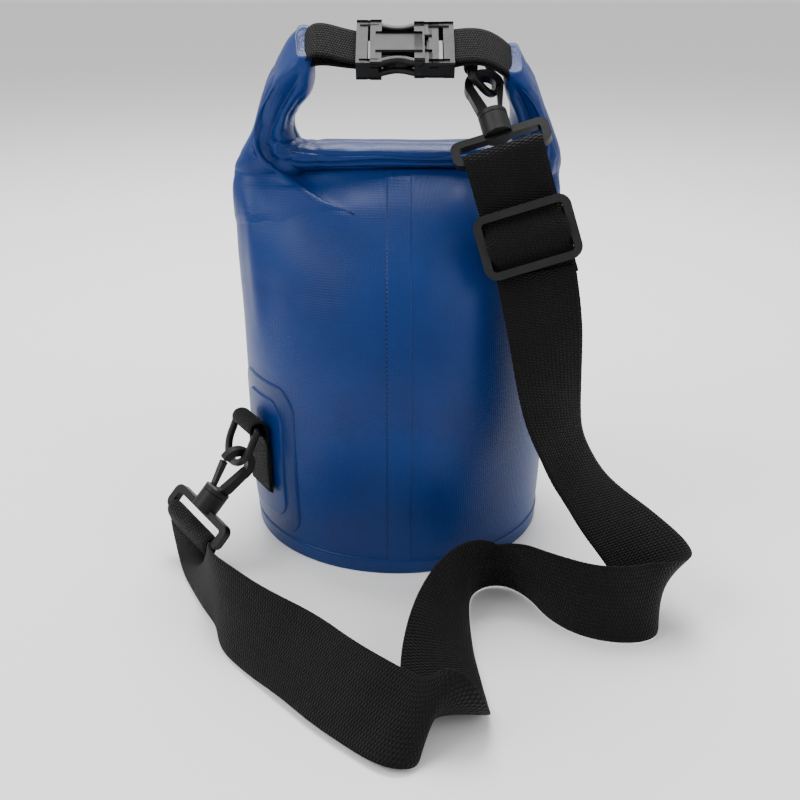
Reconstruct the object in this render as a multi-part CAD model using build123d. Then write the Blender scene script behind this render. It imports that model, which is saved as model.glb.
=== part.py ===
from build123d import *
import math
import os

os.makedirs("parts", exist_ok=True)

# A roll-top dry bag standing on its base, with a carry handle made by its own
# closure buckle and a detachable shoulder strap. Millimetres, +Z up, -Y is the front.
# The origin is the centre of the base, on the surface that the bag stands on.

# ---- driving dimensions: the tarpaulin bag ----
BASE_RADIUS = 85.0
SLEEVE_TOP = 205.0          # height at which the flattened mouth meets the roll
TARP = 1.2                  # wall of the tarpaulin, with its weld allowance
# height, half width and half depth of the sleeve
SLEEVE_SECTIONS = [
    (0.0, 83.5, 83.5),
    (25.0, 85.5, 85.0),
    (80.0, 86.5, 85.0),
    (125.0, 87.5, 79.0),
    (165.0, 88.5, 62.0),
    (SLEEVE_TOP, 87.0, 17.0),
]
ROLL_HALF_LENGTH = 61.5
ROLL_DEPTH = 33.0
ROLL_HEIGHT = 14.0
SEAM_WIDTH = 13.0
SEAM_X = 1.0
HEM_HEIGHT = 7.0

# the rolled ends: height, distance out, y, half sizes, and forward lean in degrees
LEFT_END_ROWS = [
    (SLEEVE_TOP + 0.4, 75.0, 0.0, 11.5, 16.0, 0.0),
    (SLEEVE_TOP + 20.0, 71.0, -2.0, 11.0, 15.5, 8.0),
    (SLEEVE_TOP + 41.0, 58.5, -9.0, 10.0, 14.0, 20.0),
    (264.0, 49.5, -16.5, 5.5, 12.0, 34.0),
]
RIGHT_END_ROWS = [
    (SLEEVE_TOP + 0.4, 75.5, 0.0, 11.5, 16.0, 0.0),
    (SLEEVE_TOP + 20.0, 74.0, 0.0, 10.5, 15.0, 6.0),
    (SLEEVE_TOP + 40.0, 66.0, -4.0, 9.0, 13.0, 18.0),
    (260.5, 56.5, -14.0, 5.5, 11.5, 34.0),
]

# ---- driving dimensions: the handle and its buckle ----
HANDLE_ORIGIN = (0.0, -20.0, 268.0)
HANDLE_TILT = 34.0          # the handle leans forward, its front edge low
HANDLE_WEB = 25.0           # width of the handle webbing
WEB_THICK = 1.6
BUCKLE_WIDTH = 34.0
SOCKET_X = (-20.0, 13.0)
PLUG_X = (14.0, 28.0)
BUCKLE_THICK = 10.0
RING_X = 37.2               # the upper ring's bar, in the handle's own frame
RING_Q = -5.2
RING_LEAN = 38.0            # the ring hangs outwards from square to the handle

# ---- driving dimensions: the shoulder strap and its hardware ----
STRAP_WIDTH = 40.0
RING_WIRE = 1.9             # radius of the D-ring's wire
RING_HALF = 13.0
RING_LEG = 10.0
HOOK_LENGTH = 51.0          # from the strap bar's centre to the top of the hook
FRAME_OUTER = 50.0
FRAME_BAR = 3.6
FRAME_THICK = 4.6
COLLAR_RADIUS = 7.4
SHANK_RADIUS = 4.2
EYE_THICK = 5.0
CORD_RADIUS = 4.4           # a round tube with the webbing's own section area
SLIDER_SIZE = (50.0, 33.0)
SLIDER_THICK = 3.4

# place of the upper hook: the strap bar's centre, and the line from the hook down to it
UPPER_BAR = Vector(52.7, -52.6, 222.2)
UPPER_ACROSS = Vector(0.955, 0.0, 0.296).normalized()
UPPER_AXIS_ROUGH = Vector(0.2, -0.70, -0.66)
STRAP_DOWN_ROUGH = Vector(0.28, -0.286, -0.90)
SLIDER_AT = 43.0            # distance of the slider's centre from the bar
LAYER_START = 9.4           # where the flat layers begin below the bar
STRAP_START = 60.0          # where the doubled stretch ends and the free strap begins
FRONT_LAYER_N = -4.7        # the layers lie behind the slider's plane
BACK_LAYER_N = -6.9

# place of the lower hook and of the tab on the bag's side
LOWER_BAR = Vector(-112.3, -71.6, 23.9)
LOWER_AXIS = Vector(-0.592, -0.312, -0.743).normalized()
LOWER_ACROSS_ROUGH = Vector(0.65, -0.73, -0.17)
LOWER_STRAP_ROUGH = Vector(-0.65, -0.55, -0.35)
TAB_ANGLE = 211.0
TAB_RING_Z = 75.0
TAB_RING_OUT = 96.0

# Centre line of the free strap, from the slider down to the floor, round its two
# turns there, and back up to the lower hook.
STRAP_ROUTE = [
    (69.6, -66.6, 165.6),
    (75.0, -73.0, 140.0),
    (78.0, -76.0, 113.0),
    (82.0, -78.0, 88.0),
    (90.0, -82.0, 66.0),
    (104.0, -92.0, 48.0),
    (122.0, -106.0, 34.0),
    (134.0, -122.0, 24.0),
    (131.0, -139.0, 20.0),
    (115.0, -146.0, 20.0),
    (95.0, -144.0, 20.0),
    (77.0, -131.0, 19.5),
    (64.0, -113.0, 18.0),
    (52.0, -105.0, 17.5),
    (40.0, -112.0, 17.0),
    (29.0, -132.0, 16.5),
    (22.0, -156.0, 14.0),
    (20.0, -180.0, 8.5),
    (22.0, -204.0, 5.0),
    (19.0, -222.0, 6.5),
    (6.0, -228.0, 15.0),
    (-11.0, -216.0, 17.5),
    (-28.0, -201.0, 18.0),
    (-45.0, -182.0, 18.5),
    (-63.0, -167.0, 19.0),
    (-82.0, -151.0, 19.0),
    (-99.0, -133.0, 19.0),
    (-112.0, -113.0, 19.0),
    (-120.0, -94.0, 19.5),
    (-121.5, -83.0, 19.5),
]


def save(shape, node):
    export_step(shape, f"parts/{node}.step")


def unit_across(across, axis):
    """The part of a direction that is square to an axis, as a unit vector."""
    return (across - axis * across.dot(axis)).normalized()


# ---- the bag ----
def sleeve_solid(grow, low_extra=0.0, high_extra=0.0):
    """The sleeve's outer form, grown or shrunk all round, with its ends moved out."""
    faces = []
    last = len(SLEEVE_SECTIONS) - 1
    for i, (z, half_x, half_y) in enumerate(SLEEVE_SECTIONS):
        height = z
        if i == 0:
            height -= low_extra
        if i == last:
            height += high_extra
        faces.append(Pos(0, 0, height) * Ellipse(half_x + grow, half_y + grow))
    return loft(Sketch() + faces)


def bag_tube():
    return sleeve_solid(0.0) - sleeve_solid(-TARP, 1.0, 1.0)


def bottom_panel():
    return Pos(0, 0, 0.7) * Cylinder(BASE_RADIUS - 3.4, 1.4)


def bottom_hem():
    outer = Pos(0, 0, HEM_HEIGHT / 2) * Cylinder(BASE_RADIUS + 0.9, HEM_HEIGHT)
    inner = Pos(0, 0, HEM_HEIGHT / 2) * Cylinder(BASE_RADIUS + 0.3, HEM_HEIGHT + 2)
    return outer - inner


def front_seam_strip():
    skin = sleeve_solid(1.0) - sleeve_solid(0.3, 1.0, 1.0)
    top = SLEEVE_TOP - 3.0
    low = HEM_HEIGHT + 0.5
    window = Pos(SEAM_X, -60, (top + low) / 2) * Box(SEAM_WIDTH, 110, top - low)
    return skin & window


def rolled_mouth():
    profile = SlotOverall(ROLL_DEPTH, ROLL_HEIGHT)
    core = Rectangle(ROLL_DEPTH - 9.0, 3.2)
    section = Plane.YZ * (profile - core)
    roll = extrude(section, ROLL_HALF_LENGTH, both=True)
    return Pos(0, -1, SLEEVE_TOP + 0.4 + ROLL_HEIGHT / 2) * roll


def mouth_stiffener():
    strip = Box(2 * ROLL_HALF_LENGTH - 4, ROLL_DEPTH - 10.0, 2.2)
    return Pos(0, -1, SLEEVE_TOP + 0.4 + ROLL_HEIGHT / 2) * strip


def rolled_end(side, rows):
    """One end of the rolled mouth, bent up and drawn in to the handle's webbing."""
    faces = []
    for z, x, y, half_x, half_y, tilt in rows:
        lean = math.radians(tilt)
        plane = Plane(origin=(side * x, y, z), x_dir=(1, 0, 0),
                      z_dir=(0, -math.sin(lean), math.cos(lean)))
        faces.append(plane * Ellipse(half_x, half_y))
    return loft(Sketch() + faces)


# ---- the handle, drawn in its own leaning frame ----
def handle_plane():
    tilt = math.radians(HANDLE_TILT)
    across = Vector(0, -math.cos(tilt), -math.sin(tilt))
    return Plane(origin=HANDLE_ORIGIN, x_dir=(1, 0, 0), z_dir=across)


def band(points, thick, width):
    """A strip of webbing: a smooth line thickened and run to its width."""
    line = FilletPolyline(*points, radius=2.5) if len(points) > 2 else Polyline(*points)
    strip = trace(line, thick)
    return extrude(strip, width / 2, both=True)


def left_tail():
    points = [(-49.0, 2.2), (-43.0, 7.5), (-31.0, 4.5), (-21.4, 0.0)]
    return handle_plane() * band(points, WEB_THICK * 2, HANDLE_WEB)


def right_tail():
    points = [(28.6, 0.0), (42.0, 2.0), (53.0, -0.6)]
    return handle_plane() * band(points, WEB_THICK * 2, HANDLE_WEB)


def ring_loop():
    """The webbing loop that holds the upper D-ring under the handle."""
    outer = Pos(RING_X, RING_Q) * Circle(RING_WIRE + 1.6)
    hole = Pos(RING_X, RING_Q) * Circle(RING_WIRE + 0.35)
    return handle_plane() * extrude(outer - hole, 9.0, both=True)


def buckle_socket():
    low, high = SOCKET_X
    length = high - low
    body = Pos((low + high) / 2, 0, 0) * Box(length, BUCKLE_THICK, BUCKLE_WIDTH)
    body = fillet(body.edges().filter_by(Axis.X), 3.0)
    cavity = Pos(high - 10.0, 0, 0) * Box(24.0, 5.6, BUCKLE_WIDTH - 9.0)
    body -= cavity
    for side in (1, -1):
        window = Pos(high - 12.5, 0, side * BUCKLE_WIDTH / 2) * Box(15.0, 5.6, 16.0)
        waist = Pos(high - 13.0, 0, side * (BUCKLE_WIDTH / 2 + 8.5))
        body -= window
        body -= waist * Rot(90, 0, 0) * Cylinder(11.0, BUCKLE_THICK + 4)
    slot = Pos(low + 5.0, 0, 0) * Box(2.6, BUCKLE_THICK + 4, HANDLE_WEB + 1.5)
    body -= slot
    return handle_plane() * body


def buckle_plug():
    low, high = PLUG_X
    body = Pos((low + high) / 2, 0, 0) * Box(high - low, BUCKLE_THICK - 1.0, BUCKLE_WIDTH)
    body = fillet(body.edges().filter_by(Axis.X), 2.5)
    body -= Pos(high - 5.0, 0, 0) * Box(2.6, BUCKLE_THICK + 4, HANDLE_WEB + 1.5)
    body -= Pos(low + 2.4, 0, 0) * Box(5.0, BUCKLE_THICK + 4, 9.0)
    tongue = Pos(low - 5.0, 0, 0) * Box(10.4, 2.6, 4.0)
    bridge = Pos(low + 2.6, 0, 0) * Box(6.5, 2.6, 4.0)
    return handle_plane() * (body + tongue + bridge)


def buckle_prong(side):
    """One sprung arm of the plug, with the barb that shows in the socket's window."""
    low = PLUG_X[0]
    arm = Pos(low - 7.6, 0, side * 7.8) * Box(14.4, 4.2, 2.4)
    barb = Pos(low - 12.0, 0, side * 9.2) * Box(5.6, 4.2, 4.8)
    return handle_plane() * (arm + barb)


# ---- D-rings, hooks, gates and strap frames, drawn flat and then placed ----
def d_outline(half, leg, corner):
    bow = Pos(0, -leg) * Circle(half) & Pos(0, -leg - half / 2) * Rectangle(2 * half, half)
    face = bow + Pos(0, -leg / 2) * Rectangle(2 * half, leg)
    return fillet(face.vertices().group_by(Axis.Y)[-1], corner)


def d_ring():
    """A D-ring with its bar along x through the origin and its bow below."""
    outer = Pos(0, RING_WIRE) * d_outline(RING_HALF + RING_WIRE, RING_LEG + RING_WIRE, 4.0)
    inner = Pos(0, -RING_WIRE) * d_outline(RING_HALF - RING_WIRE, RING_LEG - RING_WIRE, 1.0)
    solid = extrude(outer - inner, RING_WIRE, both=True)
    return fillet(solid.edges().filter_by(Axis.Z, reverse=True), RING_WIRE * 0.72)


def hook_body():
    """The hook: shank, shoulder disc, spine and arch, with y up from the strap bar."""
    top = HOOK_LENGTH
    arch_y = top - 10.0
    outer = Pos(0, arch_y) * Circle(10.0)
    inner = Pos(0, arch_y - 0.4) * Circle(5.9)
    cut = Polygon((-14.0, arch_y - 1.0), (4.8, arch_y - 1.0), (4.8, arch_y - 14.0),
                  (-14.0, arch_y - 14.0), align=None)
    spine = Polygon((9.9, arch_y), (5.6, arch_y), (1.2, 25.0), (-2.5, 22.6), (5.4, 22.6),
                    (7.0, 26.0), align=None)
    eye = extrude((outer - inner - cut) + spine, EYE_THICK / 2, both=True)
    disc = Pos(0, 22.6, 0) * Rot(90, 0, 0) * Cylinder(COLLAR_RADIUS, 2.4)
    shank = Pos(0, 16.6, 0) * Rot(90, 0, 0) * Cylinder(SHANK_RADIUS, 10.8)
    return eye + disc + shank


def hook_gate():
    """The sprung gate from the shoulder disc up to the hook's nose."""
    arch_y = HOOK_LENGTH - 10.0
    outline = Polygon((-5.2, 24.6), (-3.2, 24.6), (-6.3, arch_y - 1.6), (-9.4, arch_y - 2.7),
                      align=None)
    return extrude(outline, EYE_THICK / 2 - 0.6, both=True)


def strap_frame():
    """The swivel frame: a slot for the strap and a collar for the hook's shank."""
    low = -FRAME_BAR / 2
    high = 12.6
    plate = Pos(0, (low + high) / 2) * RectangleRounded(FRAME_OUTER, high - low, 4.5)
    slot_high = 8.6
    slot_low = FRAME_BAR / 2
    slot = Pos(0, (slot_low + slot_high) / 2) * RectangleRounded(
        STRAP_WIDTH + 1.6, slot_high - slot_low, 1.5)
    frame = extrude(plate - slot, FRAME_THICK / 2, both=True)
    collar = Pos(0, 15.6, 0) * Rot(90, 0, 0) * Cylinder(COLLAR_RADIUS, 10.8)
    bore = Pos(0, 16.6, 0) * Rot(90, 0, 0) * Cylinder(SHANK_RADIUS + 0.08, 11.2)
    return frame + collar - bore


def hook_plane(bar, axis, side_dir):
    """Local y runs from the strap bar up the hook; local x is side_dir squared to it."""
    up = axis * -1
    x_dir = unit_across(side_dir, axis)
    return Plane(origin=bar, x_dir=x_dir, z_dir=x_dir.cross(up))


def strap_plane():
    """The plane of the straight doubled strap: x across it, y up it, z to its front."""
    down = unit_across(STRAP_DOWN_ROUGH, UPPER_ACROSS)
    return Plane(origin=UPPER_BAR, x_dir=UPPER_ACROSS, z_dir=UPPER_ACROSS.cross(down * -1))


def strap_layer(start, end, offset):
    """A straight flat stretch of webbing, from start to end along the strap."""
    return strap_plane() * Pos(0, -(start + end) / 2, offset) * Box(
        STRAP_WIDTH, end - start, WEB_THICK)


def bar_wrap(bar, down, across, length):
    """Webbing turned round a frame's bar: a sleeve that ends in two flat layers."""
    plane = Plane(origin=bar, x_dir=unit_across(down, across), z_dir=across)
    outer = Circle(5.0) + Pos(length / 2, 0) * Rectangle(length, 7.2)
    inner = Circle(3.3) + Pos(length / 2, 0) * Rectangle(length + 1.0, 3.4)
    wrap = outer - inner
    return plane * extrude(wrap, STRAP_WIDTH / 2, both=True)


def slider_frame():
    """A three-bar adjuster: rounded rectangle with two slots and a centre bar."""
    wide, tall = SLIDER_SIZE
    plate = RectangleRounded(wide, tall, 6.5)
    half_bar = 2.2
    slot_tall = tall / 2 - 4.0 - half_bar
    slots = Sketch()
    for side in (1, -1):
        centre = side * (half_bar + slot_tall / 2)
        slots += Pos(0, centre) * RectangleRounded(STRAP_WIDTH + 1.6, slot_tall, 2.0)
    return extrude(plate - slots, SLIDER_THICK / 2, both=True)


def slider_wrap():
    """The strap's own end, folded round the adjuster's centre bar."""
    outer = SlotOverall(10.4, 7.2)
    inner = SlotOverall(7.2, 4.2)
    ring = extrude(outer - inner, STRAP_WIDTH / 2, both=True)
    return Rot(0, 90, 0) * Rot(0, 0, 90) * ring


def slider_place():
    return strap_plane() * Pos(0, -SLIDER_AT, 0)


# ---- the tab and its welded patches on the bag's side ----
def side_plane(z, radius):
    turn = math.radians(TAB_ANGLE)
    out = Vector(math.cos(turn), math.sin(turn), 0)
    along = Vector(-math.sin(turn), math.cos(turn), 0)
    return Plane(origin=out * radius + Vector(0, 0, z), x_dir=along, z_dir=out)


def side_patch(width, height, low_grow, high_grow, centre_z):
    skin = sleeve_solid(high_grow) - sleeve_solid(low_grow, 1.0, 1.0)
    outline = RectangleRounded(width, height, 14.0)
    cutter = side_plane(centre_z, 40.0) * extrude(outline, 80.0)
    return skin & cutter


def side_tab():
    """The webbing tab: a flat foot on the patch and a loop that holds the D-ring."""
    foot = side_plane(TAB_RING_Z - 19.0, BASE_RADIUS + 5.6) * Box(HANDLE_WEB, 44.0, 2.6)
    loop_plane = side_plane(TAB_RING_Z, TAB_RING_OUT)
    reach = RING_WIRE + 2.2
    outer = Circle(reach) + Pos(-2.6, 0) * Rectangle(5.2, 2 * reach - 1.0)
    hole = Circle(RING_WIRE + 0.4)
    turned = Plane(origin=loop_plane.origin, x_dir=loop_plane.z_dir, z_dir=loop_plane.x_dir)
    loop = turned * extrude(outer - hole, 10.0, both=True)
    return foot + loop


# ---- the free strap ----
def strap_radii(points):
    """Each corner's arc: 0.45 of the shorter run over the tangent of half the turn."""
    radii = []
    for a, b, c in zip(points, points[1:], points[2:]):
        first = Vector(*b) - Vector(*a)
        second = Vector(*c) - Vector(*b)
        turn = math.radians(first.get_angle(second))
        shorter = min(first.length, second.length)
        radii.append(0.45 * shorter / math.tan(turn / 2))
    return radii


def shoulder_strap():
    radii = strap_radii(STRAP_ROUTE)
    path = FilletPolyline(*STRAP_ROUTE, radius=radii)
    start = Plane(origin=path @ 0, z_dir=path % 0)
    tube = sweep(start * Circle(CORD_RADIUS), path=path)
    ideal = math.pi * CORD_RADIUS ** 2 * path.length
    print("strap arc radii:", [round(r, 1) for r in radii])
    print("strap length:", round(path.length, 1), "volume ratio:", round(tube.volume / ideal, 4))
    return tube


def ring_on(bar_centre, bar_dir, down_dir):
    x_dir = bar_dir.normalized()
    up = unit_across(down_dir, x_dir) * -1
    return Plane(origin=bar_centre, x_dir=x_dir, z_dir=x_dir.cross(up)) * d_ring()


def build():
    save(bag_tube(), "bag_tube")
    save(bottom_panel(), "bottom_panel")
    save(bottom_hem(), "bottom_hem")
    save(front_seam_strip(), "front_seam_strip")
    save(rolled_mouth(), "rolled_mouth")
    save(mouth_stiffener(), "mouth_stiffener")
    save(rolled_end(-1, LEFT_END_ROWS), "left_rolled_end")
    save(rolled_end(1, RIGHT_END_ROWS), "right_rolled_end")
    save(left_tail(), "left_handle_webbing")
    save(right_tail(), "right_handle_webbing")
    save(ring_loop(), "ring_loop")
    save(buckle_socket(), "buckle_socket")
    save(buckle_plug(), "buckle_plug")
    save(buckle_prong(1), "buckle_prong_front")
    save(buckle_prong(-1), "buckle_prong_rear")

    handle = handle_plane()
    ring_centre = handle.from_local_coords(Vector(RING_X, RING_Q, 0.0))
    lean = math.radians(RING_LEAN)
    ring_down = handle.y_dir * -math.cos(lean) + Vector(1, 0, 0) * math.sin(lean)
    save(ring_on(ring_centre, handle.z_dir, ring_down), "upper_ring")

    upper_axis = unit_across(UPPER_AXIS_ROUGH, UPPER_ACROSS)
    upper = hook_plane(UPPER_BAR, upper_axis, Vector(-1, 0, 0))
    save(upper * hook_body(), "upper_hook")
    save(upper * hook_gate(), "upper_gate")
    save(hook_plane(UPPER_BAR, upper_axis, UPPER_ACROSS) * strap_frame(), "upper_frame")
    save(bar_wrap(UPPER_BAR, STRAP_DOWN_ROUGH, UPPER_ACROSS, 9.0), "upper_strap_wrap")
    save(strap_layer(LAYER_START, STRAP_START, FRONT_LAYER_N), "strap_front_layer")
    save(strap_layer(LAYER_START, SLIDER_AT, BACK_LAYER_N), "strap_back_layer")
    save(slider_place() * slider_frame(), "slider")
    save(slider_place() * slider_wrap(), "slider_wrap")
    save(shoulder_strap(), "shoulder_strap")

    lower_across = unit_across(LOWER_ACROSS_ROUGH, LOWER_AXIS)
    lower = hook_plane(LOWER_BAR, LOWER_AXIS, Vector(0.686, 0.412, -0.583))
    save(lower * hook_body(), "lower_hook")
    save(lower * hook_gate(), "lower_gate")
    save(hook_plane(LOWER_BAR, LOWER_AXIS, lower_across) * strap_frame(), "lower_frame")
    save(bar_wrap(LOWER_BAR, LOWER_STRAP_ROUGH, lower_across, 9.0), "lower_strap_wrap")

    ring_plane = side_plane(TAB_RING_Z, TAB_RING_OUT)
    outwards = ring_plane.z_dir * 10.0 + Vector(0, 0, -21.0)
    save(ring_on(ring_plane.origin, ring_plane.x_dir, outwards), "lower_ring")
    save(side_tab(), "side_tab")
    save(side_patch(58.0, 92.0, 0.3, 1.2, 55.0), "side_patch_outer")
    save(side_patch(42.0, 74.0, 1.5, 2.4, 55.0), "side_patch_inner")


build()
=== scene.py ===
import math

import bmesh
import bpy
import numpy as np
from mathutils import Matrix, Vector


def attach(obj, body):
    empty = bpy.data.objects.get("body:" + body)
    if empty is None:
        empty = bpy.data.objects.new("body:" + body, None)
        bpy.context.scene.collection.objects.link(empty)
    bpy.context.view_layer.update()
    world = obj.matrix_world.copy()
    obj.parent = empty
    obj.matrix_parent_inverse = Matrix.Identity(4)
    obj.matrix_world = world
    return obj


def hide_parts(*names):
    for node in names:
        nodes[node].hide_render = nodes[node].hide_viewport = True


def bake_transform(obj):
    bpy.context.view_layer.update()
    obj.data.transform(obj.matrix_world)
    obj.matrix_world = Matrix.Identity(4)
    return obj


# The dry bag's look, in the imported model's own frame. Lengths are given in millimetres and
# turned to metres, by MM, where a mesh is made. x is to the bag's right, y to its back, z up.
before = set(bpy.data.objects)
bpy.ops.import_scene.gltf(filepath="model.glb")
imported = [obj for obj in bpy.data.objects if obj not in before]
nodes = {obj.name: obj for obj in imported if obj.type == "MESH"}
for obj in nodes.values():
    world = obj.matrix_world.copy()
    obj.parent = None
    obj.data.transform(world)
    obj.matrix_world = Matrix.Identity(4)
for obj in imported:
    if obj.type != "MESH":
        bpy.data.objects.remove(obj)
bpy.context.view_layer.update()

MM = 0.001
WALL_R = 85.0           # the bag's radius at its base
WALL_TOP = 205.0        # the wall's top, under the roll
HEM_HEIGHT = 8.5
LAP_WIDTH = 13.0        # the weld down the front
LAP_X = 1.0
WEB_HALF = 12.5         # half the width of the handle's webbing
BAND_HALF = 20.0        # half the width of the shoulder strap
BAND_THICK = 1.5
LEAN_FROM = 216.0       # the drawn-up ends lean back from this height
LEAN_OVER = 50.0        # and reach their full lean this much higher
LEAN_FULL = 30.0        # in degrees
EDGE_THIN = 0.55        # a band's thickness at its edges, as a share


# ---------------------------------------------------------------- materials
def math_node(tree, op, a, b=None):
    """A maths node; its inputs are numbers or other nodes' outputs."""
    n = tree.nodes.new("ShaderNodeMath")
    n.operation = op
    for i, value in enumerate((a, b)):
        if value is None:
            continue
        if isinstance(value, (int, float)):
            n.inputs[i].default_value = value
        else:
            tree.links.new(value, n.inputs[i])
    return n.outputs[0]


def new_material(name, base, rough, spec=0.5, coat=0.0, sheen=0.0):
    m = bpy.data.materials.new(name)
    m.use_nodes = True
    p = m.node_tree.nodes["Principled BSDF"]
    p.inputs["Base Color"].default_value = (*base, 1)
    p.inputs["Roughness"].default_value = rough
    p.inputs["Specular IOR Level"].default_value = spec
    p.inputs["Coat Weight"].default_value = coat
    p.inputs["Coat Roughness"].default_value = 0.35
    p.inputs["Sheen Weight"].default_value = sheen
    p.inputs["Sheen Roughness"].default_value = 0.5
    return m, m.node_tree, p


def uv_split(tree):
    """The UV map's two values, which run in millimetres."""
    uv = tree.nodes.new("ShaderNodeUVMap")
    sep = tree.nodes.new("ShaderNodeSeparateXYZ")
    tree.links.new(uv.outputs[0], sep.inputs[0])
    return sep.outputs[0], sep.outputs[1]


def wave(tree, coord, pitch, phase=None):
    """A sine wave along a coordinate, one turn for each pitch."""
    turned = math_node(tree, "MULTIPLY", coord, 2 * math.pi / pitch)
    if phase is not None:
        turned = math_node(tree, "ADD", turned, phase)
    return math_node(tree, "SINE", turned)


def noise(tree, scale, detail=3.0, rough=0.55):
    n = tree.nodes.new("ShaderNodeTexNoise")
    n.inputs["Scale"].default_value = scale
    n.inputs["Detail"].default_value = detail
    n.inputs["Roughness"].default_value = rough
    place = tree.nodes.new("ShaderNodeTexCoord")
    tree.links.new(place.outputs["Object"], n.inputs["Vector"])
    return n.outputs["Fac"]


def mix_colour(tree, fac, a, b):
    n = tree.nodes.new("ShaderNodeMix")
    n.data_type = "RGBA"
    tree.links.new(fac, n.inputs[0])
    for i, value in ((6, a), (7, b)):
        if isinstance(value, tuple):
            n.inputs[i].default_value = (*value, 1)
        else:
            tree.links.new(value, n.inputs[i])
    return n.outputs[2]


def bump(tree, height, strength, distance, under=None):
    n = tree.nodes.new("ShaderNodeBump")
    n.inputs["Strength"].default_value = strength
    n.inputs["Distance"].default_value = distance
    tree.links.new(height, n.inputs["Height"])
    if under is not None:
        tree.links.new(under, n.inputs["Normal"])
    return n.outputs[0]


def ramp(tree, fac, low, high):
    n = tree.nodes.new("ShaderNodeMapRange")
    n.inputs["From Min"].default_value = low
    n.inputs["From Max"].default_value = high
    tree.links.new(fac, n.inputs["Value"])
    return n.outputs[0]


def tarpaulin(name, base, pale, rough=0.40):
    """Coated scrim: a fine raised grid of yarns under a semi-gloss skin, with soft scuffs."""
    m, t, p = new_material(name, base, rough, 0.23, 0.02)
    u, v = uv_split(t)
    grid = 1.35
    yarn_u = math_node(t, "POWER", math_node(t, "ABSOLUTE", wave(t, u, 2 * grid)), 3.0)
    yarn_v = math_node(t, "POWER", math_node(t, "ABSOLUTE", wave(t, v, 2 * grid)), 3.0)
    yarns = math_node(t, "MAXIMUM", yarn_u, yarn_v)
    soft = noise(t, 22.0, 4.0)
    fine = noise(t, 260.0, 2.0)
    broad = ramp(t, soft, 0.35, 0.7)
    tint = mix_colour(t, broad, tuple(c * 0.90 for c in base), pale)
    shade = mix_colour(t, math_node(t, "MULTIPLY", yarns, 0.22), tint, tuple(c * 0.62 for c in base))
    t.links.new(shade, p.inputs["Base Color"])
    gloss = math_node(t, "ADD", math_node(t, "MULTIPLY", soft, 0.16), rough - 0.08)
    t.links.new(gloss, p.inputs["Roughness"])
    low = bump(t, soft, 0.25, 0.0012)
    mid = bump(t, fine, 0.10, 0.0003, low)
    t.links.new(bump(t, yarns, 0.42, 0.00016, mid), p.inputs["Normal"])
    return m


def webbing(name, base, rib_highlight, along, across, rough, strength=1.0):
    """Woven webbing: cross ribs with a stepped warp, with a painted highlight in patches on its high yarns.
    """
    m, t, p = new_material(name, base, rough, 0.14, 0.0, 0.02)
    u, v = uv_split(t)
    column = math_node(t, "FLOOR", math_node(t, "DIVIDE", v, across))
    step = math_node(t, "MULTIPLY", column, math.pi)
    ribs = wave(t, u, along, step)
    warp = math_node(t, "ABSOLUTE", wave(t, v, 2 * across))
    weave = math_node(t, "MULTIPLY", math_node(t, "ADD", ribs, 1.0), math_node(t, "POWER", warp, 0.6))
    highlight_patches = noise(t, 60.0, 5.0, 0.65)
    # painted highlight: the raised yarns are lightened towards the rib colour, in patches set by the noise
    rib_highlight_mask = math_node(t, "MULTIPLY", math_node(t, "MULTIPLY", weave, 0.5), ramp(t, highlight_patches, 0.3, 0.75))
    t.links.new(mix_colour(t, rib_highlight_mask, base, rib_highlight), p.inputs["Base Color"])
    fuzz = noise(t, 900.0, 3.0)
    under = bump(t, fuzz, 0.2, 0.0002)
    t.links.new(bump(t, weave, strength, 0.00042, under), p.inputs["Normal"])
    return m


def plastic(name, base, pale, rough):
    """Moulded acetal: satin, with a fine spark-eroded grain and handling marks."""
    m, t, p = new_material(name, base, rough, 0.3)
    grain = noise(t, 1400.0, 2.0)
    marks = noise(t, 90.0, 6.0, 0.7)
    t.links.new(mix_colour(t, ramp(t, marks, 0.45, 0.8), base, pale), p.inputs["Base Color"])
    gloss = math_node(t, "ADD", math_node(t, "MULTIPLY", marks, 0.2), rough - 0.1)
    t.links.new(gloss, p.inputs["Roughness"])
    under = bump(t, marks, 0.08, 0.0004)
    t.links.new(bump(t, grain, 0.15, 0.00008, under), p.inputs["Normal"])
    return m


BLUE = tarpaulin("tarpaulin_blue", (0.0003, 0.0195, 0.122), (0.0006, 0.026, 0.152))
BLUE_HEM = tarpaulin("tarpaulin_hem", (0.0007, 0.023, 0.125), (0.0011, 0.029, 0.147), 0.36)
BLUE_DEEP = tarpaulin("tarpaulin_patch", (0.0004, 0.0165, 0.100), (0.0007, 0.021, 0.118), 0.36)
# each webbing's second colour is the painted highlight on its raised yarns
BLACK_WEB = webbing("webbing_black", (0.0012, 0.0012, 0.0013), (0.010, 0.010, 0.0103), 1.5, 2.2, 0.70)
FINE_WEB = webbing("webbing_fine", (0.0010, 0.0010, 0.0011), (0.006, 0.006, 0.0062), 1.2, 1.7, 0.70)
THREAD_BLUE = webbing("thread_blue", (0.0008, 0.008, 0.045), (0.001, 0.012, 0.06), 0.5, 0.5, 0.6, 0.8)
BLACK = plastic("plastic_black", (0.0018, 0.0018, 0.0019), (0.0040, 0.0040, 0.0042), 0.46)
GREY = plastic("plastic_grey", (0.0060, 0.0062, 0.0066), (0.010, 0.0103, 0.0110), 0.42)


# ---------------------------------------------------------------- mesh helpers
def make_mesh(name, verts, faces, uvs, material):
    """A mesh object from points in metres; uvs holds one pair in millimetres per vertex."""
    me = bpy.data.meshes.new(name)
    me.from_pydata([tuple(map(float, v)) for v in verts], [], [list(map(int, f)) for f in faces])
    me.update()
    layer = me.uv_layers.new(name="UVMap")
    index = np.zeros(len(me.loops), np.int32)
    me.loops.foreach_get("vertex_index", index)
    layer.data.foreach_set("uv", np.asarray(uvs, np.float32)[index].ravel())
    me.polygons.foreach_set("use_smooth", [True] * len(me.polygons))
    me.materials.append(material)
    ob = bpy.data.objects.new(name, me)
    bpy.context.scene.collection.objects.link(ob)
    return ob


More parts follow.
